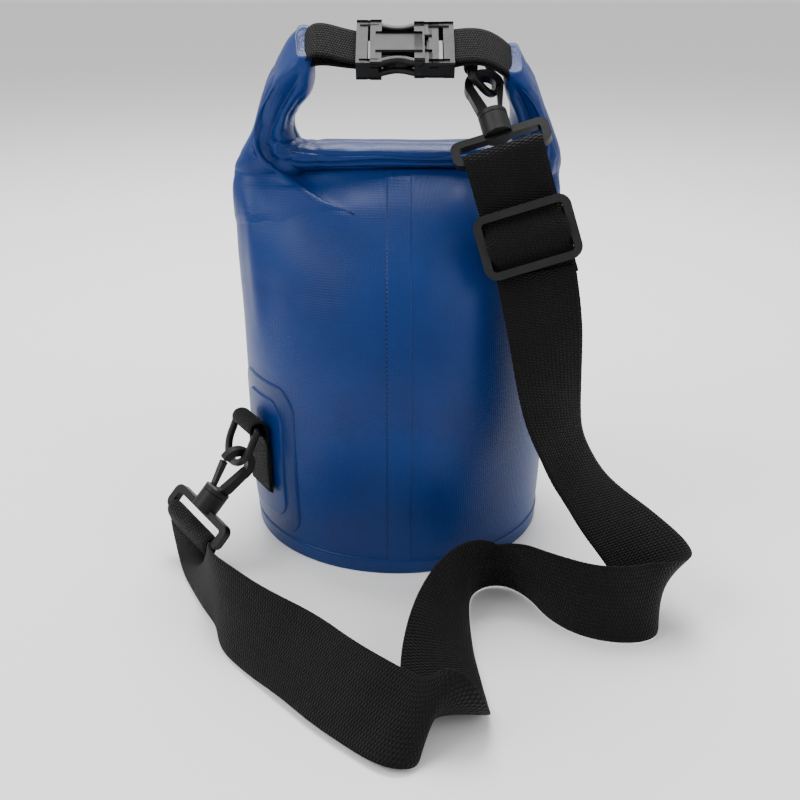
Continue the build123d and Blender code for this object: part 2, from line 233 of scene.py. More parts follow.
def grid_faces(rows, cols, closed=False):
    """The quads of a grid of points given row by row; a closed grid joins its last column to its first."""
    faces = []
    for i in range(rows - 1):
        for j in range(cols if closed else cols - 1):
            k = (j + 1) % cols
            faces.append((i * cols + j, i * cols + k, (i + 1) * cols + k, (i + 1) * cols + j))
    return faces


def along_line(p):
    """The distance run at each point of a line."""
    return np.concatenate([[0], np.cumsum(np.linalg.norm(np.diff(p, axis=0), axis=1))])


def unit(v):
    """Vectors scaled to length 1."""
    v = np.asarray(v, float)
    return v / np.maximum(np.linalg.norm(v, axis=-1, keepdims=True), 1e-12)


def resample(points, step):
    """Points spaced evenly along a line, by length."""
    p = np.asarray(points, float)
    s = along_line(p)
    n = max(2, int(round(s[-1] / step)) + 1)
    want = np.linspace(0, s[-1], n)
    return np.stack([np.interp(want, s, p[:, k]) for k in range(p.shape[1])], 1)


def smooth_line(points, rounds=3):
    """A polyline with its corners rounded by repeated cutting; the ends stay put."""
    p = np.asarray(points, float)
    for _ in range(rounds):
        q = [p[0]]
        for a, b in zip(p[:-1], p[1:]):
            q += [a * 0.75 + b * 0.25, a * 0.25 + b * 0.75]
        q.append(p[-1])
        p = np.array(q)
    return p


def ribbon(name, points, across, half, thick, material, cols=14, start=0.0, ends=(True, True),
           square=True):
    """A flat band with thickness along points, its width along the across vectors.

    start is the run before its first point, for the weave; ends says which ends are closed; square
    turns the width square to the line."""
    p = np.asarray(points, float)
    w = unit(np.broadcast_to(np.asarray(across, float), p.shape))
    t = unit(np.gradient(p, axis=0))
    if square:
        w = unit(w - t * (w * t).sum(1, keepdims=True))
    n = unit(np.cross(t, w))
    s = np.linspace(-1, 1, cols + 1)
    h = np.ones(cols + 1)
    h[[0, -1]] = EDGE_THIN
    ring_s = np.concatenate([s, s[::-1]])
    ring_h = np.concatenate([h, -h])
    verts = (p[:, None] + w[:, None] * (ring_s * half)[None, :, None]
             + n[:, None] * (ring_h * thick / 2)[None, :, None])
    u = np.repeat((along_line(p)[:, None] + start) * 1000, len(ring_s), 1)
    v = np.repeat((ring_s * half * 1000)[None], len(p), 0)
    faces = grid_faces(len(p), len(ring_s), True)
    if ends[0]:
        faces.append(tuple(range(len(ring_s)))[::-1])
    if ends[1]:
        faces.append(tuple((len(p) - 1) * len(ring_s) + k for k in range(len(ring_s))))
    return make_mesh(name, verts.reshape(-1, 3), faces,
                     np.stack([u.ravel(), v.ravel()], 1), material)


def finish_piece(ob, body, slot, *replaced):
    """Attach a piece to its body, and hide the CAD nodes that it stands for."""
    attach(ob, body)
    if replaced:
        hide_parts(*replaced)
    return ob


def hermite(x, xs, ys):
    """A smooth curve through given heights, with slopes from their neighbours."""
    xs = np.asarray(xs, float)
    ys = np.asarray(ys, float)
    m = np.gradient(ys, xs)
    i = np.clip(np.searchsorted(xs, x) - 1, 0, len(xs) - 2)
    h = xs[i + 1] - xs[i]
    t = np.clip((x - xs[i]) / h, 0, 1)
    return ((2 * t**3 - 3 * t**2 + 1) * ys[i] + (t**3 - 2 * t**2 + t) * h * m[i]
            + (3 * t**2 - 2 * t**3) * ys[i + 1] + (t**3 - t**2) * h * m[i + 1])


def lumps(a, b, seed, size):
    """Smooth repeatable unevenness, from a few crossed waves, about -1 to 1."""
    g = np.random.default_rng(seed)
    total = np.zeros(np.broadcast(a, b).shape)
    for _ in range(7):
        ka, kb = g.normal(size=2) / size
        total = total + np.sin(ka * a + kb * b + g.uniform(0, 6.28))
    return total / 3.2


# ---------------------------------------------------------------- the bag's wall
# heights, and half the bag's width and depth there
Z_ROWS = [0, 25, 80, 125, 165, 190, WALL_TOP]
HALF_X = [83.2, WALL_R, 86.3, 87.3, 88.0, 87.4, 85.6]
HALF_Y = [83.2, 84.6, 84.6, 78.8, 61.5, 38.0, 19.0]
# the front panel's folded edge on the left, in x and z
FOLD_EDGE = [(-76, 222), (-68, 211), (-57, 203.5), (-41, 195), (-32, 191.5), (-22, 189)]
# creases of the front: a line in x and z, half its width, and its height
CREASES = [
    ([(-60, 204), (-30, 198), (5, 199)], 6.0, -2.2),
    ([(-78, 200), (-76, 175), (-74, 120)], 4.0, 1.5),
    ([(-60, 190), (-66, 150), (-66, 110)], 8.0, -1.2),
    ([(30, 200), (44, 180), (60, 165)], 5.0, 1.6),
    ([(60, 196), (74, 160), (78, 120)], 5.0, 1.4),
    ([(8, 198), (14, 170), (12, 130)], 7.0, 0.8),
]


def segment_distance(x, z, line):
    """Distance to a polyline in the x, z plane, and the share of the way along it."""
    best = np.full(x.shape, 1e9)
    where = np.zeros(x.shape)
    pts = np.asarray(line, float)
    lengths = np.linalg.norm(np.diff(pts, axis=0), axis=1)
    total = lengths.sum()
    run = 0.0
    for a, b, length in zip(pts[:-1], pts[1:], lengths):
        d = b - a
        t = np.clip(((x - a[0]) * d[0] + (z - a[1]) * d[1]) / (d @ d), 0, 1)
        dist = np.hypot(x - a[0] - t * d[0], z - a[1] - t * d[1])
        closer = dist < best
        best = np.where(closer, dist, best)
        where = np.where(closer, (run + t * length) / total, where)
        run += length
    return best, where


def wall_offset(x, y, z, front):
    """How far the wall stands proud of its plain form: unevenness, long folds, creases and the fold."""
    top = np.clip((z - 110) / 90, 0, 1)
    d = 0.5 * lumps(x, z, 3, 26) * (0.4 + top)
    d = d + 0.8 * lumps(x * 1.3, y + z * 0.6, 5, 40)
    folds = np.sin(x / 9.5 + 0.6 * np.sin(z / 26)) * 0.5 + np.sin(x / 17.0 + 1.3)
    d = d + folds * 0.7 * top**2
    for line, wide, tall in CREASES:
        dist, along = segment_distance(x, z, line)
        fade = np.clip(np.minimum(along * 6 + 0.3, (1 - along) * 2.6), 0, 1)
        d = d + np.where(front, tall * fade * np.exp(-((dist / wide) ** 2)), 0)
    # above the folded edge the front panel lies back, under the roll
    dist, along = segment_distance(x, z, FOLD_EDGE)
    edge_x, edge_z = np.array(FOLD_EDGE).T
    edge_z = np.interp(x, edge_x, edge_z)
    inside = x > edge_x[0]
    above = 1 / (1 + np.exp(-(z - edge_z) / 0.6)) * inside
    fade = np.clip((1 - along) * 1.8, 0, 1)
    d = d - np.where(front, above * fade * (4.8 * np.exp(-dist / 15.0) + 0.6), 0)
    return d + np.where(front, 1.9 * fade * np.exp(-(((z - edge_z + 2.0) / 2.4) ** 2)) * inside, 0)


def wall_power(z):
    """The power of the wall's rounded outline: a circle below, squarer at the top."""
    return 2.0 + 1.3 * np.clip((z - 150) / 55, 0, 1) ** 1.5


def wall_points(theta, z, grow=0.0):
    """Points of the outer wall, moved out by grow."""
    a = hermite(z, Z_ROWS, HALF_X)
    b = hermite(z, Z_ROWS, HALF_Y)
    c, s = np.cos(theta), np.sin(theta)
    power = wall_power(z)
    cx = np.sign(c) * np.abs(c) ** (2 / power)
    sy = np.sign(s) * np.abs(s) ** (2 / power)
    x, y = a * cx, b * sy
    nx = np.sign(c) * np.abs(cx) ** (power - 1) / a
    ny = np.sign(s) * np.abs(sy) ** (power - 1) / b
    n = np.hypot(nx, ny)
    d = wall_offset(x, y, z, s < 0.1) * np.clip(z / 18, 0, 1) + grow
    return np.stack([x + nx / n * d, y + ny / n * d, z], -1)


def front_angle(x, z):
    """The wall's angle at which its front stands at x."""
    share = np.clip(np.abs(x) / hermite(z, Z_ROWS, HALF_X), 0, 1) ** (wall_power(z) / 2)
    return -math.pi / 2 + np.sign(x) * np.arcsin(share)


def bag_wall():
    cols, rows = 420, 190
    theta = np.linspace(0, 2 * math.pi, cols, endpoint=False)
    z = np.concatenate([np.linspace(0.0, 3, 4), np.linspace(4.5, WALL_TOP, rows - 4)])
    tt, zz = np.meshgrid(theta, z)
    p = wall_points(tt, zz)
    # the wall turns in under the roll
    lid = []
    for f, up in ((0.9, 1.6), (0.6, 2.2), (0.1, 2.4)):
        ring = p[-1].copy()
        ring[:, 0] *= f
        ring[:, 1] *= f
        ring[:, 2] += up
        lid.append(ring)
    foot = []
    for f in (0.985, 0.93, 0.5, 0.02):
        ring = p[0].copy()
        ring[:, :2] *= f
        ring[:, 2] = 0.15 if f > 0.95 else 0.6
        foot.append(ring)
    p = np.concatenate([np.array(foot[::-1]), p, np.array(lid)], 0)
    step = np.linalg.norm(np.diff(p, axis=0), axis=2).mean(1)
    v = np.repeat(np.concatenate([[0], np.cumsum(step)])[:, None], cols, 1)
    u = np.broadcast_to(theta * WALL_R, v.shape)
    faces = grid_faces(p.shape[0], cols, True)
    ob = make_mesh("bag_wall", p.reshape(-1, 3) * MM, faces, np.stack([u.ravel(), v.ravel()], 1), BLUE)
    return finish_piece(ob, "bag", "tarpaulin", "bag_tube", "bottom_panel", "mouth_stiffener")


def wall_band(name, theta_mid, arc, z0, z1, grow, material, corner=0.0, steps=(60, 90), front_x=None):
    """A welded piece lying on the wall: its edges step down to the wall all round.

    It is placed by its angle, or with front_x at a fixed x on the front."""
    cols, rows = steps
    s = np.linspace(-1, 1, cols)
    t = np.linspace(-1, 1, rows)
    half_w = arc / 2
    half_h = (z1 - z0) / 2
    ss, tt = np.meshgrid(s, t)
    x, y = ss * half_w, tt * half_h
    if corner:
        squeeze = np.clip(np.abs(y) - (half_h - corner), 0, corner)
        limit = half_w - corner + np.sqrt(np.maximum(corner**2 - squeeze**2, 0))
        x = ss * limit
    edge = np.minimum((1 - np.abs(ss)) * half_w, (1 - np.abs(tt)) * half_h)
    lift = grow * np.clip(edge / 0.55 + 0.02, 0, 1) ** 0.5
    zz = (z0 + z1) / 2 + y
    theta = theta_mid + x / WALL_R if front_x is None else front_angle(x + front_x, zz)
    p = wall_points(theta, zz)
    a = hermite(zz, Z_ROWS, HALF_X)
    b = hermite(zz, Z_ROWS, HALF_Y)
    n = unit(np.stack([np.cos(theta) / a, np.sin(theta) / b], -1))
    p[..., :2] += n * (lift + 0.02)[..., None]
    uv = np.stack([(x + 300).ravel() * 1.02, (zz * 1.02 + 7).ravel()], 1)
    return make_mesh(name, p.reshape(-1, 3) * MM, grid_faces(rows, cols), uv, material)


def stitch_line(name, points, normal, gap, length, radius, material, sides=6):
    """A row of short raised threads along a line, as one mesh."""
    p = np.asarray(points, float)
    s = along_line(p)
    n = unit(normal)
    verts, faces, uvs = [], [], []
    pos = length * 0.6
    while pos + length * 0.6 < s[-1]:
        a = np.array([np.interp(pos - length / 2, s, p[:, i]) for i in range(3)])
        b = np.array([np.interp(pos + length / 2, s, p[:, i]) for i in range(3)])
        t = unit(b - a)
        side = np.cross(t, n)
        base = len(verts)
        for f, r in ((0.0, 0.35), (0.2, 1.0), (0.8, 1.0), (1.0, 0.35)):
            c = a + (b - a) * f
            for q in range(sides):
                ang = 2 * math.pi * q / sides
                verts.append(c + radius * r * (side * math.cos(ang) + n * math.sin(ang)))
                uvs.append((f * length * 1000, ang))
        for ring in range(3):
            for q in range(sides):
                i0 = base + ring * sides + q
                i1 = base + ring * sides + (q + 1) % sides
                faces.append((i0, i1, i1 + sides, i0 + sides))
        faces.append(tuple(base + q for q in range(sides))[::-1])
        faces.append(tuple(base + 3 * sides + q for q in range(sides)))
        pos += gap
    return make_mesh(name, verts, faces, uvs, material)


bag_wall()

hem = wall_band("hem_band", -math.pi / 2, 2 * math.pi * WALL_R - 0.01, 0.0, HEM_HEIGHT, 0.7, BLUE_HEM,
                steps=(420, 16))
finish_piece(hem, "bag", "tarpaulin", "bottom_hem")

seam = wall_band("front_lap", 0.0, LAP_WIDTH, 6.0, WALL_TOP - 0.5, 0.5, BLUE, steps=(24, 260), front_x=LAP_X)
finish_piece(seam, "bag", "tarpaulin", "front_seam_strip")

# the row of stitches just inside the lap's left edge
z_run = np.linspace(9, WALL_TOP - 2, 400)
row_x = LAP_X - LAP_WIDTH / 2 + 0.4
pricks = wall_points(front_angle(np.full_like(z_run, row_x), z_run), z_run, 0.42) * MM
stitched = stitch_line("lap_stitches", pricks, (0.0, -1.0, 0.1), gap=2.3 * MM, length=1.5 * MM,
                       radius=0.24 * MM, material=THREAD_BLUE)
finish_piece(stitched, "bag", "tarpaulin")

TAB_TURN = math.radians(211.0)      # the side tab's place round the bag
outer = wall_band("side_patch_large", TAB_TURN, 58.0, 10.0, 100.0, 0.7, BLUE_DEEP, corner=15.0)
finish_piece(outer, "bag", "tarpaulin", "side_patch_outer")
inner = wall_band("side_patch_small", TAB_TURN, 40.0, 19.0, 91.0, 1.5, BLUE, corner=13.0)
finish_piece(inner, "bag", "tarpaulin", "side_patch_inner")


# ---------------------------------------------------------------- the rolled mouth
# centre line of the roll and its two bent-up ends: x, y, z, half thickness, half depth
ROLL_LINE = [
    (-69.0, -2.5, 229.0, 6.0, 13.0),
    (-66.0, -1.8, 219.0, 8.0, 15.5),
    (-56.0, -1.0, 212.6, 7.8, 17.0),
    (-40.0, -1.0, 212.4, 7.2, 16.8),
    (-15.0, -1.0, 212.4, 7.2, 16.6),
    (15.0, -1.0, 212.2, 7.1, 16.6),
    (42.0, -1.0, 212.4, 7.2, 16.8),
    (59.0, -1.0, 213.4, 7.9, 17.0),
    (71.0, -1.0, 219.0, 8.4, 16.0),
    (74.0, -1.5, 229.0, 6.0, 13.0),
]


def rolled_top():
    """The rolled mouth: a squarish section along ROLL_LINE, grooved where its layers end."""
    fine = resample(smooth_line(ROLL_LINE, 4), 1.0)
    c = fine[:, :3]
    half_t, half_d = fine[:, 3], fine[:, 4]
    t = unit(np.gradient(c, axis=0))
    depth = np.array([0.0, 1.0, 0.0])
    d = unit(depth - t * (t @ depth)[:, None])
    n = np.cross(d, t)
    n = n * np.sign(n[len(n) // 2, 2])
    cols = 120
    phi = np.linspace(0, 2 * math.pi, cols, endpoint=False)
    s = along_line(c)
    mid = s[-1] / 2
    pp, ss = np.meshgrid(phi, s)
    cs, sn = np.cos(pp), np.sin(pp)
    power = 2.6
    r = (np.abs(cs) ** power + np.abs(sn) ** power) ** (-1 / power)
    swell = np.zeros_like(pp)
    # the layers' edges, long grooves that wander a little along the roll: angle, depth, width and seed
    for at, deep, wide, seed in ((3.35, 1.5, 0.10, 1), (3.85, 1.1, 0.09, 2), (2.75, 0.9, 0.09, 4),
                                 (0.35, 1.0, 0.10, 5), (5.6, 0.8, 0.08, 6), (1.9, 0.9, 0.1, 8)):
        wander = at + 0.10 * np.sin(ss / 21 + seed) + 0.05 * np.sin(ss / 7.5 + 2 * seed)
        swell -= deep * np.exp(-(((pp - wander) / wide) ** 2))
    ends = np.clip((np.abs(ss - mid) - 40) / 20, 0, 1)
    out = np.abs(ss - mid)
    for at, deep, slant, seed in ((44, 0.7, 6, 0), (53, 0.9, -6, 1)):
        where = at + slant * np.sin(pp + seed) + 2.5 * np.sin(2 * pp + seed * 2)
        swell -= deep * np.exp(-(((out - where) / 2.6) ** 2))
    swell += 0.55 * lumps(ss, pp * 16, 11, 13) * (0.8 + ends)
    ripple = np.sin(ss / 5.2 + 2.2 * np.sin(pp * 2 + ss / 31))
    swell += 0.35 * ripple * np.clip(np.sin(ss / 33 + 0.8), 0, 1) * (sn > -0.4)
    swell += 0.12 * lumps(ss, pp * 16, 12, 5) * ends
    p = (c[:, None] + d[:, None] * (cs * (half_d[:, None] * r + swell))[..., None]
         + n[:, None] * (sn * (half_t[:, None] * r + swell * 0.85))[..., None])
    caps = []
    for end in (0, -1):
        caps.append([p[end] * (1 - f) + c[end] * f for f in (0.3, 0.7, 0.98)])
    p = np.concatenate([np.array(caps[0][::-1]), p, np.array(caps[1])], 0)
    v = np.concatenate([s[0] - np.array([8.0, 5.0, 2.0]), s, s[-1] + np.array([2.0, 5.0, 8.0])])
    u = np.broadcast_to(phi * 15.0, (len(v), cols))
    uv = np.stack([u.ravel(), np.repeat(v[:, None], cols, 1).ravel()], 1)
    ob = make_mesh("rolled_top", p.reshape(-1, 3) * MM, grid_faces(p.shape[0], cols, True), uv, BLUE)
    return finish_piece(ob, "bag", "tarpaulin", "rolled_mouth")


rolled_top()


# The sleeve's shoulders, drawn up with the ends of the roll to the handle's webbing:
# height, outer x, inner x, y, half depth
LEFT_EAR = [
    (198, -82.0, -56, 0, 14),
    (205, -85.4, -50, 0, 17.5),
    (214, -82.0, -50.5, -0.5, 18),
    (227, -75.0, -55.0, -2, 17.2),
    (240, -70.5, -50.5, -5.5, 16.5),
    (250, -66.5, -43.5, -10.5, 15.5),
    (260, -60.0, -42.0, -15.5, 14.8),
    (267, -55.5, -42.0, -18.5, 14.2),
    (271.5, -51.5, -43.0, -20.0, 12.5),
]
RIGHT_EAR = [
    (198, 83.0, 60, 0, 14),
    (205, 86.5, 55, 0, 17.5),
    (214, 85.6, 57, -0.5, 18),
    (227, 81.0, 59.5, -1.5, 16.5),
    (240, 75.6, 59.0, -4.5, 15.5),
    (249, 71.5, 56.0, -9, 14.5),
    (257, 67.5, 54.5, -13, 13.6),
    (263, 63.5, 54.8, -15.5, 12.0),
]
# creases of each end: lines in x and z, half width, height, and 1 for the front or -1 for the back
LEFT_FOLDS = [
    ([(-53, 268), (-63, 252), (-73, 233), (-76, 219), (-69, 209), (-61, 203)], 1.9, 3.0, 1),
    ([(-48, 266), (-57, 250), (-66, 232), (-68, 218), (-62, 208)], 2.8, -2.6, 1),
    ([(-50, 257), (-58, 243), (-62, 229), (-59, 220)], 2.0, 1.9, 1),
    ([(-47, 252), (-54, 240), (-57, 228)], 1.8, -1.5, 1),
    ([(-66, 224), (-60, 221), (-52, 221)], 1.6, -1.3, 1),
    ([(-66, 217), (-60, 214), (-53, 214)], 1.6, 1.2, 1),
    ([(-60, 258), (-69, 240), (-80, 214), (-84, 200)], 3.0, -1.4, 1),
    ([(-54, 266), (-64, 246), (-72, 224), (-74, 205)], 3.0, 2.0, -1),
    ([(-50, 262), (-59, 240), (-62, 218)], 2.6, -2.0, -1),
]
RIGHT_FOLDS = [
    ([(60, 262), (70, 248), (77, 230), (82, 214), (80, 200)], 2.4, 2.4, 1),
    ([(57, 260), (65, 246), (72, 230), (75, 215), (70, 203)], 2.6, -2.4, 1),
    ([(58, 252), (64, 238), (67, 224)], 2.0, 1.7, 1),
    ([(78, 226), (68, 221), (58, 220)], 2.0, -1.6, 1),
    ([(82, 214), (72, 211), (60, 211)], 2.0, 1.2, 1),
    ([(60, 262), (70, 244), (78, 222), (80, 204)], 3.0, 2.0, -1),
    ([(57, 258), (65, 236), (68, 216)], 2.6, -2.0, -1),
]


def lean_at(z):
    """How far a drawn-up end leans back at a height, as a slope."""
    return np.tan(np.radians(LEAN_FULL * np.clip((z - LEAN_FROM) / LEAN_OVER, 0, 1)))


def drawn_up_end(name, rows, folds, seed, replaced):
    """One bent-up end of the roll, gathered into folds, from the wall's top to the handle's webbing."""
    r = np.asarray(rows, float)
    z = np.linspace(r[0, 0], r[-1, 0], 130)
    outer, inner, yc, hy = (hermite(z, r[:, 0], r[:, k]) for k in (1, 2, 3, 4))
    cx, hx = (outer + inner) / 2, np.abs(outer - inner) / 2
    cols = 150
    phi = np.linspace(0, 2 * math.pi, cols, endpoint=False)
    pp, zz = np.meshgrid(phi, z)
    cs, sn = np.cos(pp), np.sin(pp)
    power = 3.2 - 0.4 * np.clip((zz - 208) / 14, 0, 1)
    round_off = (np.abs(cs) ** power + np.abs(sn) ** power) ** (-1 / power)
    x = cx[:, None] + cs * hx[:, None] * round_off
    y = yc[:, None] + sn * hy[:, None] * round_off
    d = 0.5 * lumps(zz, pp * 18, seed, 11) + 0.25 * lumps(zz, pp * 18, seed + 1, 5)
    for line, wide, tall, face in folds:
        dist, along = segment_distance(x, zz, line)
        fade = np.clip(np.minimum(along * 5 + 0.3, (1 - along) * 4 + 0.1), 0, 1)
        seen = 1 / (1 + np.exp(face * (y - yc[:, None]) / 2.0))
        d = d + tall * fade * seen * np.exp(-((dist / wide) ** 2))
    d = d * np.clip((zz - r[0, 0]) / 6, 0, 1)
    nx, ny = cs / hx[:, None], sn / hy[:, None]
    n = np.hypot(nx, ny)
    p = np.stack([x + nx / n * d, y + ny / n * d, zz + (y - yc[:, None]) * lean_at(z)[:, None]], -1)
    caps = []
    middle = np.array([cx[-1], yc[-1], z[-1]])
    for f, up in ((0.94, 0.9), (0.80, 0.5), (0.4, -0.6), (0.02, -0.9)):
        ring = p[-1] * f + middle * (1 - f)
        ring[:, 2] += up
        caps.append(ring)
    p = np.concatenate([p, np.array(caps)], 0)
    zc = np.concatenate([z * 1.1, z[-1] * 1.1 + np.array([1.0, 2.0, 4.0, 6.0])])
    u = np.broadcast_to(phi * 15.0, p.shape[:2])
    uv = np.stack([u.ravel(), np.repeat(zc[:, None], cols, 1).ravel()], 1)
    ob = make_mesh(name, p.reshape(-1, 3) * MM, grid_faces(p.shape[0], cols, True), uv, BLUE)
    return finish_piece(ob, "bag", "tarpaulin", replaced)


def side_section(side, face, turn, x_edge, centre, half_x, half_y, mid_y, power):
    """Points of a rounded outline and its outward direction, from its side at turn 0 to x_edge at turn 1."""
    reach = np.clip((x_edge - centre) * side / half_x, -1, 1)
    angle = turn * np.arccos(np.sign(reach) * np.abs(reach) ** (power / 2))
    c, sn = np.cos(angle), np.sin(angle)
    cx = np.sign(c) * np.abs(c) ** (2 / power)
    sy = np.sign(sn) * np.abs(sn) ** (2 / power)
    nx = np.sign(c) * np.abs(cx) ** (power - 1) / half_x
    ny = np.sign(sn) * np.abs(sy) ** (power - 1) / half_y
    n = np.hypot(nx, ny)
    return centre + side * half_x * cx, mid_y + face * half_y * sy, side * nx / n, face * ny / n


def shoulder(name, rows, side, face, ridge, low, proud, seed):
    """The sleeve's side panel, lying over the wall and the drawn-up end as far as its folded edge.

    side and face are 1 or -1, ridge is the folded edge in x and z, low the panel's lowest height and
    proud how far it stands off."""
    r = np.asarray(rows, float)
    line = resample(smooth_line(ridge, 3), 0.8)
    down = np.linspace(0, 1, len(line))
    # the panel's far side is level with the fold above its bend and runs down to low below it
    bend = 214
    below = np.clip((bend - line[:, 1]) / (bend - line[-1, 1]), 0, 1)
    z_far = np.where(below > 0, bend + (low - bend) * below, line[:, 1])
    # round from the far side to the fold, and the fold's edge tucked under
    share = np.concatenate([np.linspace(-0.28, 1.0, 46), [1.012, 1.022, 1.028, 1.024]])
    tuck = np.concatenate([np.ones(46), [0.75, 0.35, -0.1, -0.8]])
    ss, tt = np.meshgrid(share, down)
    inside = np.clip(ss, -0.3, 1)
    zz = z_far[:, None] + (line[:, 1] - z_far)[:, None] * np.clip(inside, 0, 1)
    x_edge = line[:, 0][:, None]

    zw = np.minimum(zz, WALL_TOP)
    wall = side_section(side, face, ss, x_edge, 0.0, hermite(zw, Z_ROWS, HALF_X), hermite(zw, Z_ROWS, HALF_Y),
                        0.0, wall_power(zw))
    ze = np.clip(zz, r[0, 0], r[-1, 0])
    outer, inner, yc, hy = (hermite(ze, r[:, 0], r[:, k]) for k in (1, 2, 3, 4))
    ear = side_section(side, face, ss, x_edge, (outer + inner) / 2, np.abs(outer - inner) / 2, hy, yc, 2.8)
    mix = np.clip((zz - 198) / 16, 0, 1)
    mix = mix * mix * (3 - 2 * mix)
    x, y, nx, ny = (w * (1 - mix) + e * mix for w, e in zip(wall, ear))

    edge_fade = np.clip((inside + 0.28) / 0.5, 0, 1)
    low_fade = np.clip((1 - tt) * 3.2, 0, 1) * np.clip(tt * 12 + 0.15, 0, 1)
    bead = 0.9 * np.exp(-(((1 - inside) / 0.07) ** 2)) - 0.5 * np.exp(-(((0.78 - inside) / 0.10) ** 2))
    cover = 0.8 * np.clip(2.5 * edge_fade, 0, 1) * np.clip(2.5 * low_fade, 0, 1) - 0.6
    lift = (cover + (proud + bead) * edge_fade * low_fade) * tuck
    lift = lift + 0.35 * lumps(x, zz, seed, 12) * edge_fade * low_fade
    on_wall = wall_offset(x, y, zz, np.full(x.shape, face < 0)) * (mix < 0.5) * (1 - mix)
    on_wall = np.where(zz < WALL_TOP, on_wall, 0)
    lift = lift + (np.maximum(on_wall, -0.4) if face < 0 else on_wall * 0.6)
    p = np.stack([x + nx * lift, y + ny * lift, zz + (y - yc) * lean_at(zz) * mix], -1)
    uv = np.stack([(x + y + 400).ravel(), (zz * 1.03).ravel()], 1)
    ob = make_mesh(name, p.reshape(-1, 3) * MM, grid_faces(*p.shape[:2]), uv, BLUE)
    return finish_piece(ob, "bag", "tarpaulin")


shoulder("shoulder_left_front", LEFT_EAR, -1, -1,
         [(-56, 262), (-64, 250), (-70.5, 236), (-73, 223), (-71, 214), (-65, 208), (-56, 202.5), (-41, 194),
          (-26, 189)], 172, 1.9, 41)
shoulder("shoulder_left_back", LEFT_EAR, -1, 1,
         [(-57, 260), (-64, 248), (-70, 234), (-72, 220), (-68, 210), (-58, 200), (-44, 190), (-32, 184)],
         170, 1.7, 42)
shoulder("shoulder_right_front", RIGHT_EAR, 1, -1,
         [(62, 257), (69, 246), (75, 232), (78, 220), (76, 210), (69, 203), (58, 196), (44, 188)],
         170, 1.8, 43)
shoulder("shoulder_right_back", RIGHT_EAR, 1, 1,
         [(61, 257), (68, 246), (74, 232), (76, 220), (72, 210), (62, 201), (46, 191), (34, 185)],
         170, 1.7, 44)
drawn_up_end("left_end", LEFT_EAR, LEFT_FOLDS, 21, "left_rolled_end")
drawn_up_end("right_end", RIGHT_EAR, RIGHT_FOLDS, 31, "right_rolled_end")


# ---------------------------------------------------------------- local frames of the hardware
def local_frame(origin, x_axis, y_axis):
    """A function from a part's own millimetres to the model's metres."""
    x = unit(x_axis)
    y = unit(np.asarray(y_axis, float) - x * np.dot(x, y_axis))
    z = np.cross(x, y)
    o = np.asarray(origin, float)

    def place(points):
        q = np.asarray(points, float)
        return (o + q[..., 0:1] * x + q[..., 1:2] * y + q[..., 2:3] * z) * MM
    place.x, place.y, place.z = x, y, z
    return place


# where the hard parts stand: the same places and directions as in the CAD
TILT = math.radians(34.0)               # the handle's lean to the front
STRAP_X = (0.95517, 0, 0.29605)
STRAP_Y = (-0.2833, 0.29036, 0.91402)
LOW_BAR = (-112.3, -71.6, 23.9)         # the lower frame's bar
LOW_X = (0.63713, -0.74582, -0.19446)
handle = local_frame((0, -20, 268), (1, 0, 0), (0, -math.sin(TILT), math.cos(TILT)))
strap = local_frame((52.7, -52.6, 222.2), STRAP_X, STRAP_Y)
slide = local_frame((64.882, -65.085, 182.897), STRAP_X, STRAP_Y)
low_strap = local_frame(LOW_BAR, LOW_X, (0.23, -0.06, 0.97))


def band(name, place, profile, half, thick, material, axis="z", step=0.8, rounds=3):
    """A ribbon whose line is drawn in two of a frame's directions, its width along the third."""
    line = smooth_line(profile, rounds)
    flat = np.zeros(len(line))
    if axis == "z":
        points, wide = np.stack([line[:, 0], line[:, 1], flat], 1), place.z
    else:
        points, wide = np.stack([flat, line[:, 0], line[:, 1]], 1), place.x
    return ribbon(name, resample(place(points), step * MM), wide, half * MM, thick * MM, material)


# handle webbing: doubled tails with their rounded folds
TAILS = {
    "left_tail": [(-47.5, -2.0), (-46, 2.5), (-42, 6.2), (-36, 6.0), (-28, 3.2), (-21, 1.2), (-16.5, 0.2)],
    "left_tail_lower": [(-47, -3.5), (-43, 0.2), (-36, 1.0), (-28, -0.4), (-21, -1.4), (-16.5, -1.6)],
    "right_tail": [(23.2, 0.2), (27.5, 2.0), (34, 3.0), (41, 3.0), (47, 1.2), (53, -2.6), (58, -7.5)],
    "right_tail_lower": [(23.2, -0.6), (27.5, -1), (34, 1), (41, 1), (47, -0.8), (52, -4.6), (57, -9)],
}
TAIL_REPLACES = {"left_tail_lower": ["left_handle_webbing"], "right_tail_lower": ["right_handle_webbing"]}
for name, profile in TAILS.items():
    tail = band(name, handle, profile, WEB_HALF, BAND_THICK, FINE_WEB)
    finish_piece(tail, "bag", "webbing", *TAIL_REPLACES.get(name, []))

# the loop that carries the upper ring: round the ring's bar, up to the tail
RING_X = 37.2
RING_Y = -5.2
LOOP_R = 3.0
turns = np.linspace(math.radians(70), math.radians(-250), 40)
round_bar = [(RING_X + LOOP_R * math.cos(a), RING_Y + LOOP_R * math.sin(a)) for a in turns]
loop_line = [(RING_X + 1.4, 1.4)] + round_bar + [(RING_X - 1.4, 1.4)]
ring_loop = band("ring_loop_web", handle, loop_line, 9.0, 1.2, FINE_WEB, rounds=1, step=0.5)
finish_piece(ring_loop, "bag", "webbing", "ring_loop")

